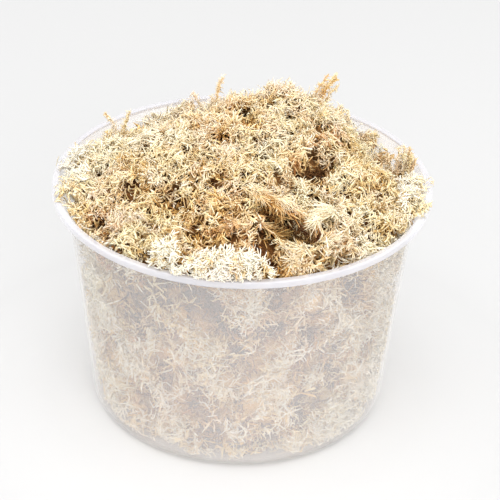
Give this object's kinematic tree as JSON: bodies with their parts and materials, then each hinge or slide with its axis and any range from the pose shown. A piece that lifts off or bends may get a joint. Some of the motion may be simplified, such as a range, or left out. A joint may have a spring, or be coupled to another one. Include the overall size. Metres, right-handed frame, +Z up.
{
  "type": "sphagnum moss clump in a tub",
  "caption": "Clump of dried sphagnum moss packed into a round translucent plastic tub and heaped above its rim, with frizzy leafy stems all over.",
  "frame": {"origin": "centre of the tub's foot, on the surface that it stands on", "axes": "+Z up along the tub's axis; the seen side faces -Y"},
  "size_m": [0.19, 0.19, 0.1657],
  "materials": {
    "tub_plastic": "translucent natural polypropylene, satin outside",
    "moss_straw": "dry, bleached straw-coloured moss",
    "moss_olive": "dry moss with a little green left in it",
    "moss_tan": "dry, brown-tipped moss",
    "moss_cream": "dry moss, bleached nearly white"
  },
  "bodies": {
    "root": {"tub": "tub_plastic", "moss_crown_01": "moss_straw", "moss_crown_02": "moss_olive", "moss_crown_03": "moss_straw", "moss_crown_04": "moss_tan", "moss_crown_05": "moss_cream", "moss_crown_06": "moss_straw", "moss_crown_07": "moss_cream", "moss_crown_08": "moss_straw", "moss_crown_09": "moss_olive", "moss_crown_10": "moss_straw", "moss_crown_11": "moss_tan", "moss_crown_12": "moss_cream", "moss_crown_13": "moss_straw", "moss_crown_14": "moss_cream", "moss_crown_15": "moss_straw", "moss_crown_16": "moss_olive", "moss_crown_17": "moss_straw", "moss_crown_18": "moss_tan", "moss_crown_19": "moss_cream", "moss_crown_20": "moss_straw", "moss_side_01": "moss_straw", "moss_side_02": "moss_tan", "moss_side_03": "moss_straw", "moss_side_04": "moss_cream", "moss_side_05": "moss_olive", "moss_side_06": "moss_straw", "moss_side_07": "moss_tan", "moss_side_08": "moss_straw", "moss_side_09": "moss_cream", "moss_side_10": "moss_olive", "moss_side_11": "moss_straw", "moss_side_12": "moss_tan", "moss_side_13": "moss_straw", "moss_side_14": "moss_cream", "moss_side_15": "moss_olive", "moss_side_16": "moss_straw", "moss_side_17": "moss_tan", "moss_side_18": "moss_straw"}
  },
  "joints": []
}
